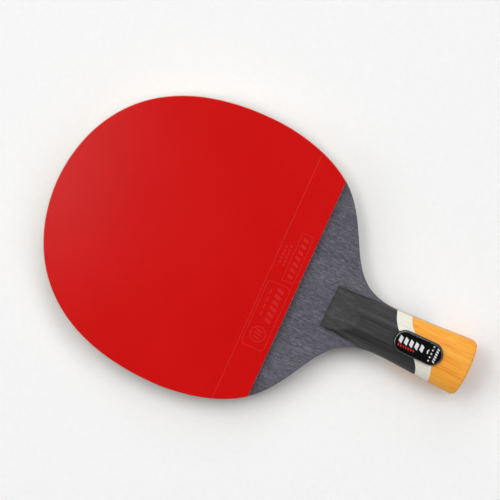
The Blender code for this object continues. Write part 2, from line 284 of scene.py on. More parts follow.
class Look:
    """A material's node tree with short ways to add nodes to it."""

    def __init__(self, name, roughness=0.5, **constants):
        self.material = bpy.data.materials.new(name)
        self.material.use_nodes = True
        self.tree = self.material.node_tree
        self.shader = self.tree.nodes["Principled BSDF"]
        self.shader.inputs["Roughness"].default_value = roughness
        for socket, value in constants.items():
            self.shader.inputs[socket.replace("_", " ")].default_value = value
        self.place = self.node("ShaderNodeTexCoord").outputs["Object"]

    def node(self, kind, inputs=None, **settings):
        """A node with its settings, and its inputs as values or links."""
        made = self.tree.nodes.new(kind)
        for key, value in settings.items():
            setattr(made, key, value)
        for key, value in (inputs or {}).items():
            if isinstance(value, bpy.types.NodeSocket):
                self.tree.links.new(value, made.inputs[key])
            else:
                made.inputs[key].default_value = value
        return made

    def stretched(self, x, y, z, coordinates=None):
        """Coordinates scaled by x, y, z per metre: the object's own unless others are given."""
        inputs = {"Vector": coordinates or self.place, "Scale": (x, y, z)}
        return self.node("ShaderNodeMapping", inputs).outputs["Vector"]

    def even(self, scale):
        """Object coordinates scaled alike in every direction."""
        return self.stretched(scale, scale, scale)

    def swayed(self, scale, reach):
        """Object coordinates that wander sideways by up to a distance, so long grain isn't straight."""
        sway = self.noise(self.stretched(*scale), detail=2)
        aside = self.node("ShaderNodeCombineXYZ", {"X": self.span(sway, -reach, reach)}).outputs[0]
        return self.node("ShaderNodeVectorMath", {0: self.place, 1: aside}, operation="ADD").outputs[0]

    def noise(self, coordinates, detail=3.0, roughness=0.5, distortion=0.0):
        """Noise from 0 to 1."""
        inputs = {"Vector": coordinates, "Scale": 1.0, "Detail": detail, "Roughness": roughness,
                  "Distortion": distortion}
        return self.node("ShaderNodeTexNoise", inputs).outputs["Fac"]

    def cells(self, coordinates):
        """The distance to the nearest of many scattered points."""
        inputs = {"Vector": coordinates, "Scale": 1.0}
        return self.node("ShaderNodeTexVoronoi", inputs).outputs["Distance"]

    def math(self, operation, a, b=0.0):
        """One arithmetic step."""
        return self.node("ShaderNodeMath", {0: a, 1: b}, operation=operation).outputs[0]

    def weighted(self, *parts):
        """The sum of (value, weight) pairs."""
        total = None
        for value, weight in parts:
            term = self.math("MULTIPLY", value, weight)
            total = term if total is None else self.math("ADD", total, term)
        return total

    def ramp(self, value, *stops):
        """A colour ramp: stops are (place, colour)."""
        made = self.node("ShaderNodeValToRGB", {"Fac": value})
        bar = made.color_ramp.elements
        while len(bar) < len(stops):
            bar.new(0.5)
        for element, (place, colour) in zip(bar, stops):
            element.position = place
            element.color = (*colour, 1.0)
        return made.outputs["Color"]

    def span(self, value, low, high):
        """A 0 to 1 value spread over low to high."""
        inputs = {"Value": value, "To Min": low, "To Max": high}
        return self.node("ShaderNodeMapRange", inputs).outputs["Result"]

    def give(self, socket, value):
        """Link a value to one of the shader's sockets."""
        self.tree.links.new(value, self.shader.inputs[socket])

    def colour(self, value, *stops):
        """The base colour, as a ramp over a value."""
        self.give("Base Color", self.ramp(value, *stops))

    def roughness(self, value, low, high):
        """The roughness, spread from low to high by a value from 0 to 1."""
        self.give("Roughness", self.span(value, low, high))

    def bump(self, height, distance, strength=1.0):
        """A bump whose height value of 1 stands for a distance in metres."""
        inputs = {"Height": height, "Distance": distance, "Strength": strength}
        self.give("Normal", self.node("ShaderNodeBump", inputs).outputs["Normal"])


def rubber_look(name, deep, bright, roughness):
    """Smooth moulded rubber: faint cloudiness, and the pimples behind it just telling in the surface."""
    look = Look(name, IOR=1.38, Specular_IOR_Level=0.17)
    clouds = look.noise(look.even(28), detail=4)
    fine = look.noise(look.even(900), detail=2)
    look.colour(look.weighted((clouds, 0.7), (fine, 0.3)), (0.3, deep), (0.7, bright))
    look.roughness(look.weighted((clouds, 1.0), (fine, 0.5)), roughness - 0.06, roughness + 0.04)
    wave = 4 * math.pi / math.sqrt(3) / PIMPLE_PITCH
    ripples = []
    for degrees in (0, 60, 120):
        a = math.radians(degrees)
        inputs = {0: look.place, 1: (wave * math.cos(a), wave * math.sin(a), 0)}
        phase = look.node("ShaderNodeVectorMath", inputs, operation="DOT_PRODUCT").outputs["Value"]
        ripples.append((look.math("COSINE", phase), 0.10))
    look.bump(look.weighted(*ripples, (fine, 0.5)), 0.002 * MM)
    return look.material


def veneer_look():
    """Violet-grey stained veneer with a fine, curly grain along the blade."""
    look = Look("stained_veneer", Specular_IOR_Level=0.35)
    swayed = look.swayed((160, 60, 160), 1.6 * MM)
    curl = look.noise(look.stretched(1750, 480, 1750, swayed), detail=3, roughness=0.62, distortion=0.9)
    pores = look.noise(look.stretched(2600, 120, 2600, swayed), detail=2)
    broad = look.noise(look.stretched(60, 9, 60), detail=3)
    tone = look.weighted((curl, 0.62), (pores, 0.22), (broad, 0.16))
    dark, middle, light = (0.040, 0.0385, 0.048), (0.090, 0.0875, 0.110), (0.168, 0.163, 0.203)
    look.colour(tone, (0.36, dark), (0.50, middle), (0.63, light))
    look.roughness(curl, 0.48, 0.66)
    look.bump(tone, 0.05 * MM, 0.6)
    return look.material


def grip_look(name, stops, roughness, gloss=0.22, bump=0.03 * MM):
    """Stained and polished handle wood: long fibres, fine pores and broad bands."""
    look = Look(name, Specular_IOR_Level=gloss)
    swayed = look.swayed((70, 14, 70), 1.2 * MM)
    fibres = look.noise(look.stretched(1700, 55, 900, swayed), detail=4, roughness=0.65)
    bands = look.noise(look.stretched(420, 9, 200, swayed), detail=2)
    pores = look.cells(look.stretched(1500, 130, 1500, swayed))
    look.colour(look.weighted((fibres, 0.55), (bands, 0.45)), *stops)
    look.roughness(fibres, roughness - 0.06, roughness + 0.10)
    look.bump(look.weighted((fibres, 1.0), (pores, 0.4)), bump)
    return look.material


def edge_wood_look(name, dark, light):
    """The sawn edge of a ply: long fibres seen from the side, with pores."""
    look = Look(name, Specular_IOR_Level=0.3)
    fibres = look.noise(look.stretched(260, 260, 4200), detail=4, roughness=0.7)
    fleck = look.noise(look.stretched(1800, 1800, 3000), detail=2)
    tone = look.weighted((fibres, 0.7), (fleck, 0.3))
    look.colour(tone, (0.3, dark), (0.7, light))
    look.roughness(fleck, 0.55, 0.75)
    look.bump(tone, 0.04 * MM)
    return look.material


def carbon_look():
    """Woven carbon fibre in resin: crossing tows a millimetre wide."""
    look = Look("woven_carbon", Specular_IOR_Level=0.5)
    inputs = {"Vector": look.even(1000), "Scale": 1.0}
    checks = look.node("ShaderNodeTexChecker", inputs).outputs["Fac"]
    fibres = look.noise(look.even(4000), detail=2)
    weave = look.weighted((checks, 0.5), (fibres, 0.5))
    look.colour(weave, (0.2, (0.012, 0.012, 0.014)), (0.8, (0.05, 0.05, 0.055)))
    look.roughness(fibres, 0.3, 0.5)
    return look.material


def foam_look():
    """Cream sponge: fine cells of mixed size on a cut edge, with painted shade in the cells' hollows and a
    painted highlight on their rims.
    """
    look = Look("cream_sponge", Specular_IOR_Level=0.15)
    cells = look.cells(look.even(3200))
    clouds = look.noise(look.even(300), detail=3)
    # the hollow colour is painted shade in the pores, the rim colour a painted highlight on the cell walls
    shaded_hollow, wall, rim = (0.58, 0.40, 0.26), (0.86, 0.68, 0.50), (0.93, 0.78, 0.62)
    look.colour(look.weighted((cells, 0.5), (clouds, 0.5)), (0.2, shaded_hollow), (0.5, wall), (0.8, rim))
    look.roughness(cells, 0.8, 0.95)
    look.bump(cells, 0.12 * MM)
    return look.material


def print_look(name, colour):
    """Screen-printed ink with a slightly uneven lay, dull because it lies under the resin."""
    look = Look(name, Specular_IOR_Level=0.06)
    lay = look.noise(look.even(2500), detail=2)
    thin = tuple(0.86 * c for c in colour)
    look.colour(lay, (0.3, thin), (0.7, colour))
    look.roughness(lay, 0.3, 0.45)
    return look.material


def resin_look():
    """Clear cast resin: see-through where it is level, and dense where its rim turns down."""
    look = Look("clear_resin", roughness=0.2, IOR=2.0)
    ripple = look.noise(look.even(180), detail=2)
    look.colour(ripple, (0.3, (0.003, 0.003, 0.004)), (0.7, (0.006, 0.006, 0.007)))
    normal = look.node("ShaderNodeTexCoord").outputs["Normal"]
    upward = look.node("ShaderNodeSeparateXYZ", {"Vector": normal}).outputs["Z"]
    inputs = {
        "Value": look.math("ABSOLUTE", upward),
        "From Min": 0.97,             # the rim starts to look dense where it leans this much
        "From Max": 0.91,
        "To Min": 0.1,
        "To Max": 1.0,
    }
    look.give("Alpha", look.node("ShaderNodeMapRange", inputs).outputs["Result"])
    look.bump(ripple, 0.002 * MM)
    return look.material


def tape_look():
    """White adhesive foam."""
    look = Look("tape_foam", Specular_IOR_Level=0.2)
    bubbles = look.noise(look.even(3000), detail=2)
    look.colour(bubbles, (0.3, (0.62, 0.62, 0.60)), (0.7, (0.80, 0.80, 0.78)))
    look.roughness(bubbles, 0.75, 0.9)
    look.bump(bubbles, 0.03 * MM)
    return look.material


def paper_look():
    """Matt white paper for the floor."""
    look = Look("pale_paper", Specular_IOR_Level=0.1)
    grain = look.noise(look.even(400), detail=3)
    look.colour(grain, (0.3, (0.935, 0.935, 0.935)), (0.7, (0.955, 0.955, 0.955)))
    look.roughness(grain, 0.85, 0.95)
    return look.material


RED = rubber_look("red_rubber_skin", (0.590, 0.0042, 0.0040), (0.625, 0.0058, 0.0054), 0.22)
BLACK = rubber_look("black_rubber_skin", (0.009, 0.009, 0.010), (0.014, 0.014, 0.016), 0.22)
# the raised marks are coloured lighter than the skin: a painted highlight where they catch the light
RED_RIDGE_HIGHLIGHT = rubber_look("red_ridges_painted_highlight", (0.62, 0.013, 0.013), (0.65, 0.021, 0.020), 0.36)
BLACK_RIDGE_HIGHLIGHT = rubber_look("black_ridges_painted_highlight", (0.016, 0.016, 0.018), (0.024, 0.024, 0.027), 0.36)
VENEER = veneer_look()
DARK_STOPS = (0.36, (0.023, 0.0225, 0.0225)), (0.50, (0.039, 0.038, 0.038)), (0.64, (0.064, 0.063, 0.062))
PALE_STOPS = (0.34, (0.70, 0.66, 0.55)), (0.52, (0.82, 0.80, 0.71)), (0.66, (0.88, 0.86, 0.78))
ORANGE_STOPS = (0.36, (0.77, 0.220, 0.021)), (0.49, (0.91, 0.365, 0.044)), (0.62, (0.93, 0.48, 0.082))
DARK_GRIP = grip_look("dark_stained_wood", DARK_STOPS, 0.46, 0.2)
PALE_GRIP = grip_look("cream_wood", PALE_STOPS, 0.45, bump=0.015 * MM)
ORANGE_GRIP = grip_look("orange_stained_wood", ORANGE_STOPS, 0.42, 0.12)
CORE_WOOD = edge_wood_look("core_wood_edge", (0.50, 0.33, 0.17), (0.76, 0.57, 0.35))
INNER_WOOD = edge_wood_look("inner_wood_edge", (0.55, 0.38, 0.22), (0.80, 0.62, 0.40))
CARBON = carbon_look()
FOAM = foam_look()
WHITE_INK = print_look("white_ink", (0.96, 0.96, 0.95))
RED_INK = print_look("red_ink", (0.70, 0.03, 0.022))
BLACK_INK = print_look("black_plate", (0.0035, 0.0035, 0.004))
RESIN = resin_look()
TAPE = tape_look()
PAPER = paper_look()


def painted(obj, material):
    """Give an object one material."""
    obj.data.materials.clear()
    obj.data.materials.append(material)
    return obj


# ---------------------------------------------------------------- blade

BLADE_OUTLINE = refined(outline_of("core_ply"))


def cut_back(outline):
    """A topsheet's outline with its straight cut drawn back a hair from the sponge's."""
    points = [Vector(p) for p in outline]
    corners = []
    for i, point in enumerate(points):
        onward = points[(i + 1) % len(points)] - point
        if (point - points[i - 1]).angle(onward) > CORNER_ANGLE:
            corners.append(point)
    left, right = sorted(corners, key=lambda p: p.x)
    rise = (right.y - left.y) / (right.x - left.x)
    moved = []
    for p in points:
        from_cut = abs(p.y - left.y - rise * (p.x - left.x))
        moved.append((p.x, p.y + CUT_LIP if from_cut < 0.05 * MM else p.y))
    return moved


SIDES = ("front", "back")
SPONGE_OUTLINES = {side: refined(outline_of(side + "_sponge")) for side in SIDES}
SHEET_OUTLINES = {side: cut_back(refined(outline_of(side + "_topsheet"))) for side in SIDES}


def make_plies():
    """Seven plies that touch, with the face veneers' rims softened."""
    plies = [   # from the core outwards, each with the height it reaches and the rounding of its rim
        ("carbon_layer", CARBON, "carbon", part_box("front_inner_veneer")[0].z, 0.0),
        ("inner_veneer", INNER_WOOD, "inner_wood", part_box("front_face_veneer")[0].z, 0.0),
        ("face_veneer", VENEER, "face_veneer", FACE_Z, RIM_ROUND),
    ]
    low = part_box("front_carbon_layer")[0].z - MID_Z
    core = mesh_object("core", *slab(BLADE_OUTLINE, MID_Z - low, MID_Z + low))
    finish_piece(painted(core, CORE_WOOD), "core_wood", "core_ply")
    for ply, material, slot, top, rim in plies:
        high = top - MID_Z
        front = slab(BLADE_OUTLINE, MID_Z + low, MID_Z + high, 0, rim)
        back = slab(BLADE_OUTLINE, MID_Z - high, MID_Z - low, rim, 0)
        for side, shape in (("front", front), ("back", back)):
            sheet = mesh_object(f"{side}_{ply}_sheet", *shape)
            finish_piece(painted(sheet, material), slot, f"{side}_{ply}")
        low = high


# ---------------------------------------------------------------- rubbers

def sponge(name, outline, low, high, node):
    """A foam slab whose cut edge is slightly uneven."""
    rng = np.random.default_rng(7)
    outward = normals_2d(outline)
    layers = 5
    rings = [level(outline, low)]
    for k in range(1, layers):
        wobble = rng.normal(0, FOAM_UNEVEN, len(outward)) - FOAM_DRAWN_IN
        rings.append(level(np.array(outline) + outward * wobble[:, None], low + (high - low) * k / layers))
    rings.append(level(outline, high))
    obj = mesh_object(name, *stack(rings), smooth_angle=50)
    return finish_piece(painted(obj, FOAM), "sponge", node)


def pimple_places(outline):
    """Centres of the pimples in the band along the sheet's edge, on a triangular grid."""
    rim = np.array(outline)
    ahead = np.roll(rim, -1, axis=0)
    row_step = PIMPLE_PITCH * math.sqrt(3) / 2
    half_row = math.ceil(PADDLE_HIGH.x / PIMPLE_PITCH) + 1
    places = []
    for row in range(math.ceil((TIP_Y - CUT_Y) / row_step)):
        y = CUT_Y + row * row_step
        for column in range(-half_row, half_row + 1):
            x = (column + (row % 2) / 2) * PIMPLE_PITCH
            gap = math.sqrt(((rim - (x, y))**2).sum(1).min())
            if not PIMPLE_MARGIN < gap <= PIMPLE_BAND:
                continue
            crosses = (rim[:, 1] > y) != (ahead[:, 1] > y)
            with np.errstate(divide="ignore", invalid="ignore"):
                at = rim[:, 0] + (y - rim[:, 1]) * (ahead[:, 0] - rim[:, 0]) / (ahead[:, 1] - rim[:, 1])
            if (crosses & (x < at)).sum() % 2 == 1:
                places.append((x, y))
    return places


def disc(x, y, radius, sides):
    """A clockwise circle."""
    turns = [-2 * math.pi * k / sides for k in range(sides)]
    return [(x + radius * math.cos(a), y + radius * math.sin(a)) for a in turns]


def pimples(name, outline, sheet_z, sponge_z, material, slot):
    """Short pegs between the sheet and the sponge."""
    sides = 10
    ends = sorted([(sheet_z, PIMPLE_FOOT), (sponge_z, PIMPLE_TIP)])
    parts = []
    for x, y in pimple_places(outline):
        parts.append(stack([level(disc(x, y, radius, sides), z) for z, radius in ends]))
    return finish_piece(painted(joined(name, parts, 50), material), slot)


def rounded_box(x0, x1, y0, y1, radius, steps=5):
    """A clockwise rectangle with round corners."""
    points = []
    for cx, cy, start in ((x1 - radius, y1 - radius, 90), (x1 - radius, y0 + radius, 0),
                          (x0 + radius, y0 + radius, -90), (x0 + radius, y1 - radius, -180)):
        for k in range(steps + 1):
            a = math.radians(start - 90 * k / steps)
            points.append((cx + radius * math.cos(a), cy + radius * math.sin(a)))
    return points


def ridge_frame(outline, width):
    """A raised line along a closed outline, with sloping sides."""
    rings = [
        level(outline, -MARK_SUNK),
        level(offset(outline, -MARK_SLOPE), MARK_HEIGHT),
        level(offset(outline, MARK_SLOPE - width), MARK_HEIGHT),
        level(offset(outline, -width), -MARK_SUNK),
    ]
    faces = []
    for r in range(len(rings)):
        faces += band(len(outline), r, (r + 1) % len(rings))
    return [p for ring in rings for p in ring], faces


def raised(outline):
    """A raised filled shape with sloping sides."""
    top = offset(outline, -MARK_SLOPE)
    return stack([level(outline, -MARK_SUNK), level(outline, 0.25 * MARK_HEIGHT), level(top, MARK_HEIGHT)])


def slanted_bar(x, y, width, height, lean):
    """A clockwise parallelogram about a centre."""
    w, h = width / 2, height / 2
    return [(x - w + lean, y + h), (x + w + lean, y + h), (x + w - lean, y - h), (x - w - lean, y - h)]


def bar_row(count, first, pitch, y, width, height, lean):
    """Slanted bars at an even pitch, all in millimetres but y."""
    centres = [(first + pitch * k) * MM for k in range(count)]
    return [slanted_bar(x, y, width * MM, height * MM, lean * MM) for x in centres]


def dash_row(count, first, pitch, y, width, height, radius):
    """Round-cornered dashes at an even pitch, all in millimetres but y."""
    half, rise = width / 2 * MM, height / 2 * MM
    centres = [(first + pitch * k) * MM for k in range(count)]
    return [rounded_box(x - half, x + half, y - rise, y + rise, radius * MM, 3) for x in centres]


def mark_shapes():
    """The moulded marks by the cut edge, about the sheet's surface: a line, two frames, plain signs."""
    line_y = CUT_Y + 16.9 * MM
    line_half = next(x for x, y in SHEET_OUTLINES["back"] if y < line_y) - 0.6 * MM
    base = CUT_Y + 2.6 * MM           # the frames' lower edge
    emblem_x, emblem_y = -29.0 * MM, base + 6.4 * MM
    frames = [
        ridge_frame(rounded_box(-36.8 * MM, -0.6 * MM, base, base + 13.0 * MM, 2.2 * MM), 0.5 * MM),
        ridge_frame(rounded_box(1.8 * MM, 28.6 * MM, base, base + 6.8 * MM, 0.7 * MM), 0.5 * MM),
        ridge_frame(disc(emblem_x, emblem_y, 4.3 * MM, 40), 0.6 * MM),
    ]
    signs = [slanted_bar(0, line_y, 2 * line_half, 0.55 * MM, 0)]
    for k in (-1, 0, 1):
        x, height = emblem_x + k * 1.9 * MM, (4.6 - abs(k)) * MM
        signs.append(slanted_bar(x, emblem_y, 0.9 * MM, height, 0.5 * MM))
    # in each row: how many, the first one's x, the pitch, y, then width, height and lean or corner radius
    signs += bar_row(6, -20.6, 3.3, base + 4.6 * MM, 1.9, 3.6, 0.6)
    signs += dash_row(4, -18.6, 4.2, base + 9.3 * MM, 2.8, 0.8, 0.3)
    signs += bar_row(7, 4.9, 3.4, base + 3.4 * MM, 1.7, 3.0, 0.5)
    signs += dash_row(6, 9.2, 2.1, base + 9.0 * MM, 1.5, 1.0, 0.25)
    signs += dash_row(5, 10.2, 2.1, base + 11.4 * MM, 1.5, 1.0, 0.25)
    return frames + [raised(sign) for sign in signs]


def make_rubbers():
    """Front and back: sponge, pimples, skin and moulded marks, whose lighter colour is a painted
    highlight.
    """
    marks = mark_shapes()
    about_cut = Matrix.Translation((0, CUT_Y, 0))
    turned = about_cut @ Matrix.Rotation(MARK_TURN, 4, "Z") @ about_cut.inverted()
    flipped = Matrix.Rotation(math.pi, 4, "Y")
    # each side's marks take the lighter ridge colour, a painted highlight
    kinds = (("front", RED, RED_RIDGE_HIGHLIGHT, "red_rubber"), ("back", BLACK, BLACK_RIDGE_HIGHLIGHT, "black_rubber"))
    for side, material, ridge_highlight, slot in kinds:
        sheet_outline = SHEET_OUTLINES[side]
        sheet_low, sheet_high = (corner.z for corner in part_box(side + "_topsheet"))
        foam_low, foam_high = (corner.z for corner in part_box(side + "_sponge"))
        if side == "front":
            foam_low = FACE_Z
            skin_low, skin_high = sheet_high - SHEET_SKIN, sheet_high
            rims, pegs = (0, RIM_ROUND), (skin_low, foam_high)
            place = Matrix.Translation((0, 0, sheet_high)) @ turned
        else:
            foam_high = BACK_Z
            skin_low, skin_high = sheet_low, sheet_low + SHEET_SKIN
            rims, pegs = (RIM_ROUND, 0), (skin_high, foam_low)
            place = Matrix.Translation((0, 0, sheet_low)) @ flipped
        sponge(side + "_foam", SPONGE_OUTLINES[side], foam_low, foam_high, side + "_sponge")
        skin = mesh_object(side + "_skin", *slab(sheet_outline, skin_low, skin_high, *rims))
        pimples(side + "_pimples", sheet_outline, *pegs, material, slot)
        finish_piece(painted(skin, material), slot, side + "_topsheet")
        signs = joined(side + "_marks", marks)
        signs.data.transform(place)
        finish_piece(painted(signs, ridge_highlight), slot)


# ---------------------------------------------------------------- handle

GRIP_FORE = bezier((GRIP_FRONT_HALF, GRIP_FRONT_Y), (GRIP_FRONT_HALF, GRIP_FRONT_Y - 12 * MM),
                   (NECK_HALF, NECK_Y + 10 * MM), (NECK_HALF, NECK_Y), 40)
BUTT_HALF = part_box("front_grip_butt_block")[1].x
CORNER_Y = BUTT_Y + BUTT_BULGE + BUTT_CORNER   # the butt's round corners start here
GRIP_AFT = bezier((NECK_HALF, NECK_Y), (NECK_HALF, NECK_Y - 10 * MM),
                  (BUTT_HALF - 0.8 * MM, CORNER_Y + 16 * MM), (BUTT_HALF, CORNER_Y), 40)
AROUND = 72                       # steps round the handle half
TURN_STEPS = 8                    # rows that turn the butt block over into its end
SETTLE = 12                       # rounds in which a place along the handle settles


def side_at(y):
    """The handle's half-width at the glue line, without the butt's corners."""
    path = GRIP_FORE if y > NECK_Y else GRIP_AFT
    return float(np.interp(-y, [-p[1] for p in path], [p[0] for p in path]))


def section(u, side):
    """A point (x, z) of the oval section and its outward direction, u from 0, right, to 1, left."""
    mirror = 1.0 if u <= 0.5 else -1.0
    t = 2 * (u if u <= 0.5 else 1 - u)
    upright, flat = 0.03, 0.12    # shares of the steps on the upright side and on the flat crown
    if t < upright:
        return mirror * side, GRIP_SIDE * t / upright, mirror, 0.0
    if t > 1 - flat:
        return mirror * GRIP_FLAT_HALF * (1 - t) / flat, CROWN, 0.0, 1.0
    a = math.pi / 2 * (t - upright) / (1 - upright - flat)
    reach, rise = side - GRIP_FLAT_HALF, CROWN - GRIP_SIDE
    out = Vector((rise * math.cos(a), reach * math.sin(a))).normalized()
    x, z = GRIP_FLAT_HALF + reach * math.cos(a), GRIP_SIDE + rise * math.sin(a)
    return mirror * x, z, mirror * out.x, out.y


def butt_wall(x):
    """The butt's slightly bulging end."""
    reach = BUTT_HALF - BUTT_CORNER
    return BUTT_Y + BUTT_BULGE * min(1.0, abs(x) / reach) ** 2


def stripe_edge(right, left, flat_right, flat_left):
    """One S-shaped edge of the stripe as a function of x."""
    path = bezier((STRIPE_REACH, right), (STRIPE_REACH - flat_right, right),
                  (flat_left - STRIPE_REACH, left), (-STRIPE_REACH, left), 80)[::-1]
    xs, ys = [p[0] for p in path], [p[1] for p in path]
    return lambda x: float(np.interp(x, xs, ys))


def ramp_height(y):
    """The ramp's height over the blade face, with its front edge rounded."""
    distance = GRIP_FRONT_Y - y
    height = RAMP_STEP + (CROWN - RAMP_STEP) * distance / RAMP_LENGTH
    if distance < RAMP_ROUND:
        height -= RAMP_ROUND - math.sqrt(RAMP_ROUND**2 - (RAMP_ROUND - distance) ** 2)
    return height


def soft_min(a, b, k):
    """The lower of two heights, with the crease between them rounded."""
    h = max(0.0, k - abs(a - b)) / k
    return min(a, b) - h * h * k / 4


def where(u, edge):
    """The place along the handle where the line at u meets an edge given as y(x)."""
    y = edge(0.0)
    for _ in range(SETTLE):
        y = edge(section(u, side_at(y))[0])
    return y


def butt_radius(nx):
    """How round the butt's end is where the surface faces sideways by nx: most at the sides."""
    return BUTT_EDGE_ROUND + (BUTT_CORNER - BUTT_EDGE_ROUND) * abs(nx) ** 3


def butt_start(u):
    """The place along the handle where the line at u starts to turn over into the butt's end."""
    y = BUTT_Y
    for _ in range(SETTLE):
        x, _, nx, _ = section(u, side_at(y))
        radius = butt_radius(nx)
        y = butt_wall(x - nx * radius) + radius
    return y


def butt_rows(us, starts):
    """Rows that turn the butt block's surface over into its end."""
    rows = []
    for k in range(1, TURN_STEPS + 1):
        a = math.pi / 2 * k / TURN_STEPS
        row = []
        for u, start in zip(us, starts):
            x, z, nx, nz = section(u, side_at(start))
            radius = butt_radius(nx)
            back = radius * (1 - math.cos(a))
            row.append((x - nx * back, start - radius * math.sin(a), z - nz * back))
        rows.append(row)
    return rows


def evenly(start, end, steps):
    """Places from start to end, both included."""
    return [start + (end - start) * (k / steps) for k in range(steps + 1)]


def stations(kind, start, end):
    """Places along one line of a block, closer together on the ramp and closest at its front edge."""
    if kind == "stripe":
        return evenly(start, end, 18)
    if kind == "butt":
        return evenly(start, end, 34)
    front_edge = [RAMP_ROUND * (1 - math.cos(math.pi / 2 * k / 5)) for k in range(5)]
    ramp_end = RAMP_LENGTH + 2 * MM
    ramp = evenly(RAMP_ROUND, ramp_end, 56)[:-1]
    return [start - distance for distance in front_edge + ramp] + evenly(start - ramp_end, end, 44)


def grip_rows(kind, head_edge, butt_edge):
    """The block's upper surface: rows of points from its head end to its butt end."""
    us = [i / AROUND for i in range(AROUND + 1)]
    starts = [where(u, head_edge) for u in us]
    ends = [butt_start(u) if kind == "butt" else where(u, butt_edge) for u in us]
    lines = []
    for u, start, end in zip(us, starts, ends):
        line = []
        for y in stations(kind, start, end):
            x, z = section(u, side_at(y))[:2]
            if kind == "dark":
                z = soft_min(z, ramp_height(y), RAMP_CREASE) if 0 < u < 1 else 0.0
            line.append((x, y, max(z, 0.0)))
        lines.append(line)
    rows = [list(row) for row in zip(*lines)]
    return rows + butt_rows(us, ends) if kind == "butt" else rows


def grip_solid(rows):
    """Close a block: upright end walls and a flat underside."""
    count = AROUND + 1
    verts = [p for row in rows for p in row]
    faces = []
    for r in range(len(rows) - 1):
        for i in range(AROUND):
            here, ahead = r * count + i, (r + 1) * count + i
            faces.append([here, here + 1, ahead + 1, ahead])
    feet = []
    for r in (0, len(rows) - 1):
        row = [r * count + i for i in range(count)]
        foot = [row[0]]
        for i in range(1, AROUND):
            foot.append(len(verts))
            verts.append((*rows[r][i][:2], 0.0))
        foot.append(row[-1])
        for i in range(AROUND):
            corners = [row[i], row[i + 1], foot[i + 1], foot[i]]
            faces.append(list(dict.fromkeys(corners)))
        feet.append(foot)
    right = [r * count for r in range(1, len(rows) - 1)]
    left = [r * count + AROUND for r in range(1, len(rows) - 1)]
    faces.append(feet[0][::-1] + right + feet[1] + left[::-1])
    return verts, faces


BADGE_LENGTH = BADGE_HIGH.y - BADGE_LOW.y
BADGE_WIDTH = BADGE_HIGH.x - BADGE_LOW.x


def pill(grow, steps=16):
    """The badge's outline, clockwise, grown or shrunk."""
    centre_y = (BADGE_LOW.y + BADGE_HIGH.y) / 2
    radius = BADGE_WIDTH / 2 + grow
    straight = (BADGE_LENGTH - BADGE_WIDTH) / 2
    points = []
    for shift, start in ((straight, math.pi), (-straight, 0.0)):
        for k in range(steps + 1):
            a = start - math.pi * k / steps
            points.append((radius * math.cos(a), centre_y + shift + radius * math.sin(a)))
    return points


def cut_seat(block):
    """Mill the badge's flat seat into a block of the front half."""
    floor_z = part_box("badge_tape")[0].z
    cutter = mesh_object("seat_cutter", *slab(pill(0.06 * MM), floor_z, floor_z + 5 * MM))
    cut = block.modifiers.new("Seat", "BOOLEAN")
    cut.operation = "DIFFERENCE"
    cut.object = cutter
    bpy.context.view_layer.update()
    with_seat = block.evaluated_get(bpy.context.evaluated_depsgraph_get())
    mesh = bpy.data.meshes.new_from_object(with_seat)
    block.modifiers.clear()
    block.data = mesh
    bpy.data.objects.remove(cutter)
    shade(mesh, 30)


def make_handle():
    """Three blocks on each face of the tang, meeting in thin seams."""
    head_line, butt_line = stripe_edge(*STRIPE_HEAD), stripe_edge(*STRIPE_BUTT)
    blocks = [
        ("dark", "grip_dark_block", DARK_GRIP, "dark_grip_wood",
         lambda x: GRIP_FRONT_Y, lambda x: head_line(x) + SEAM),
        ("stripe", "grip_stripe", PALE_GRIP, "pale_grip_wood",
         lambda x: head_line(x) - SEAM, lambda x: butt_line(x) + SEAM),
        ("butt", "grip_butt_block", ORANGE_GRIP, "orange_grip_wood",
         lambda x: butt_line(x) - SEAM, None),
    ]
    places = {
        "front": Matrix.Translation((0, 0, FACE_Z)),
        "back": Matrix.Translation((0, 0, BACK_Z)) @ Matrix.Rotation(math.pi, 4, "Y"),
    }
    for kind, node, material, slot, head_edge, butt_edge in blocks:
        verts, faces = grip_solid(grip_rows(kind, head_edge, butt_edge))
        for side, place in places.items():
            block = mesh_object(f"{side}_{kind}_block", verts, faces, 32)
            block.data.transform(place)
            painted(block, material)
            if side == "front":
                cut_seat(block)
            finish_piece(block, slot, f"{side}_{node}")


# ---------------------------------------------------------------- badge

def badge_marks():
    """Plain printed signs: slanted blocks, a broken line, a wave, a row of dots and a row of bars."""
    top = BADGE_HIGH.y
    white, red = [], []
    for k in range(5):
        y = top - (3.6 + 2.95 * k) * MM
        white.append(slanted_bar(0.4 * MM, y, 3.3 * MM, 1.9 * MM, 0.45 * MM))
    for k in range(7):
        y = top - (3.5 + 1.4 * k) * MM
        red.append(slanted_bar(-2.75 * MM, y, 1.15 * MM, 0.85 * MM, 0.15 * MM))
    for k in range(5):
        white.append(disc((k - 2) * 1.95 * MM, top - 21.0 * MM, 0.46 * MM, 20))
    turns = [math.radians(degrees) for degrees in range(150, 29, -12)]
    outer = [(1.5 * MM * math.cos(a), 1.5 * MM * math.sin(a)) for a in turns]
    inner = [(0.55 * x, 0.55 * y) for x, y in reversed(outer)]
    white.append([(x + 0.3 * MM, y + top - 19.9 * MM) for x, y in outer + inner])
    white += bar_row(6, -3.375, 1.35, top - 23.6 * MM, 0.85, 1.3, 0.25)
    low, high = BADGE_HIGH.z - PRINT_SUNK, BADGE_HIGH.z + PRINT_HIGH
    return [slab(sign, low, high) for sign in white], [slab(sign, low, high) for sign in red]


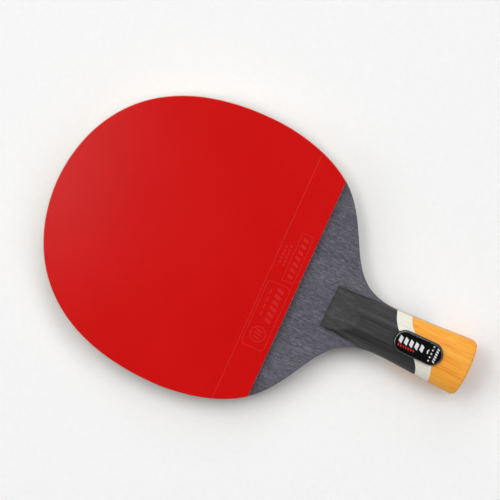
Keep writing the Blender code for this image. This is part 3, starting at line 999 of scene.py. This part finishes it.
def lens_rings(foot, top):
    """The dome's rings: an upright wall, a rim that turns over and a slightly crowned top."""
    wall, turn_over, crown = 0.35 * MM, 1.5 * MM, 0.12 * MM
    rise = top - foot - wall - crown
    rings = [level(pill(-LENS_MARGIN), foot)]
    steps = 12
    for k in range(steps + 1):
        a = math.pi / 2 * k / steps
        inset = LENS_MARGIN + turn_over * (1 - math.cos(a))
        rings.append(level(pill(-inset), foot + wall + rise * math.sin(a)))
    flat = BADGE_WIDTH / 2 - turn_over - 0.1 * MM
    steps = 8
    for k in range(1, steps + 1):
        inset = LENS_MARGIN + turn_over + flat * k / steps
        rings.append(level(pill(-inset), top - crown * (1 - k / steps) ** 2))
    return rings


def make_badge():
    """Tape, black plate, printed signs and a clear dome."""
    tape = mesh_object("badge_pad", *slab(pill(-0.6 * MM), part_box("badge_tape")[0].z, BADGE_LOW.z))
    finish_piece(painted(tape, TAPE), "badge_foam", "badge_tape")
    round_edge = 0.08 * MM
    plate = mesh_object("badge_base", *slab(pill(0), BADGE_LOW.z, BADGE_HIGH.z, round_edge, round_edge))
    finish_piece(painted(plate, BLACK_INK), "badge_black", "badge_plate")
    white, red = badge_marks()
    finish_piece(painted(joined("badge_white_print", white), WHITE_INK), "badge_white_print")
    finish_piece(painted(joined("badge_red_print", red), RED_INK), "badge_red_print")
    rings = lens_rings(BADGE_HIGH.z - 0.005 * MM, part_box("badge_lens")[1].z)
    lens = mesh_object("badge_dome", *stack(rings), smooth_angle=60)
    finish_piece(painted(lens, RESIN), "badge_clear", "badge_lens")


# ---------------------------------------------------------------- stage, light and camera

RIGHT = Vector((0.4242, -0.9056, 0.0))     # the picture's right and up in the paddle's frame
UP = Vector((0.9056, 0.4242, 0.0))
PICTURE_WIDTH = 260.1 * MM
CAMERA_DISTANCE = 1.5
CAMERA_LEAN = math.radians(3.0)
AIM = Vector((8.4 * MM, 11.5 * MM, MID_Z))
SENSOR_WIDTH = 36.0                        # in millimetres, as a Blender camera has it
FLOOR_HALF = 1.5
HORIZON_LIGHT, ZENITH_LIGHT = 0.55, 0.05   # the surroundings are bright low down and dim overhead
DIM_FROM = 0.45                            # how high up, of 1, the surroundings are fully dim
# name, azimuth and elevation in degrees, distance and size in metres, share of the floor's light
LAMPS = (
    ("softbox_top_left", 135, 50, 6.0, 3.0, 0.236),
    ("strip_left", 178, 33, 6.0, 2.6, 0.105),
    ("softbox_top_right", 45, 58, 6.0, 3.2, 0.210),
    ("softbox_top", 90, 66, 6.0, 3.0, 0.090),
    ("strip_top", 90, 34, 6.0, 2.6, 0.085),
    ("softbox_right", 0, 46, 2.2, 1.1, 0.100),
    ("fill_below", 315, 38, 2.2, 1.2, 0.056),
    ("sheen_lamp", 166, 73, 0.64, 0.14, 0.088),
)


def make_camera():
    """Straight over the paddle, leaning a little towards the top of the picture."""
    data = bpy.data.cameras.new("camera")
    data.sensor_width = SENSOR_WIDTH
    data.lens = SENSOR_WIDTH * CAMERA_DISTANCE / PICTURE_WIDTH
    camera = bpy.data.objects.new("camera", data)
    bpy.context.scene.collection.objects.link(camera)
    back = (math.cos(CAMERA_LEAN) * Vector((0, 0, 1)) + math.sin(CAMERA_LEAN) * UP).normalized()
    across = RIGHT.normalized()
    upward = back.cross(across)
    turn = Matrix((across, upward, back)).transposed().to_4x4()
    camera.matrix_world = Matrix.Translation(AIM + back * CAMERA_DISTANCE) @ turn
    bpy.context.scene.camera = camera


def soft_lamp(name, azimuth, elevation, distance, size, share):
    """A square lamp facing the paddle, its azimuth counted from the picture's right towards its top."""
    across, rise = math.radians(azimuth), math.radians(elevation)
    level_way = math.cos(across) * RIGHT + math.sin(across) * UP
    way = (math.cos(rise) * level_way + math.sin(rise) * Vector((0, 0, 1))).normalized()
    data = bpy.data.lights.new(name, "AREA")
    data.shape = "SQUARE"
    data.size = size
    data.energy = share * (math.pi * distance) ** 2 / way.z
    lamp = bpy.data.objects.new(name, data)
    bpy.context.scene.collection.objects.link(lamp)
    lamp.location = AIM + way * distance
    lamp.rotation_euler = way.to_track_quat("Z", "Y").to_euler()


def make_stage():
    """A pale floor that the handle's back and the far edge of the back rubber both touch."""
    back_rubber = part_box("back_topsheet")
    contact = Vector((0, GRIP_FRONT_Y - RAMP_LENGTH, PADDLE_LOW.z))
    slope = (back_rubber[0].z - contact.z) / (back_rubber[1].y - contact.y)
    corners = []
    for x, ahead in ((-1, -1), (1, -1), (1, 1), (-1, 1)):
        height = contact.z + ahead * FLOOR_HALF * slope - 0.05 * MM
        corners.append((x * FLOOR_HALF, contact.y + ahead * FLOOR_HALF, height))
    floor = mesh_object("floor", corners, [[0, 1, 2, 3]])
    painted(floor, PAPER)


def make_light():
    """Soft studio light, strongest from the picture's upper corners, with bright low surroundings."""
    world = bpy.data.worlds.new("studio")
    bpy.context.scene.world = world
    world.use_nodes = True
    nodes, links = world.node_tree.nodes, world.node_tree.links
    direction = nodes.new("ShaderNodeTexCoord")
    split = nodes.new("ShaderNodeSeparateXYZ")
    falloff = nodes.new("ShaderNodeMapRange")
    falloff.interpolation_type = "SMOOTHSTEP"
    falloff.inputs["From Max"].default_value = DIM_FROM
    falloff.inputs["To Min"].default_value = HORIZON_LIGHT
    falloff.inputs["To Max"].default_value = ZENITH_LIGHT
    links.new(direction.outputs["Generated"], split.inputs["Vector"])
    links.new(split.outputs["Z"], falloff.inputs["Value"])
    links.new(falloff.outputs["Result"], nodes["Background"].inputs["Strength"])
    nodes["Background"].inputs["Color"].default_value = (1, 1, 1, 1)
    for lamp in LAMPS:
        soft_lamp(*lamp)
    bpy.context.scene.view_settings.view_transform = "Standard"


make_plies()
make_rubbers()
make_handle()
make_badge()
make_stage()
make_camera()
make_light()
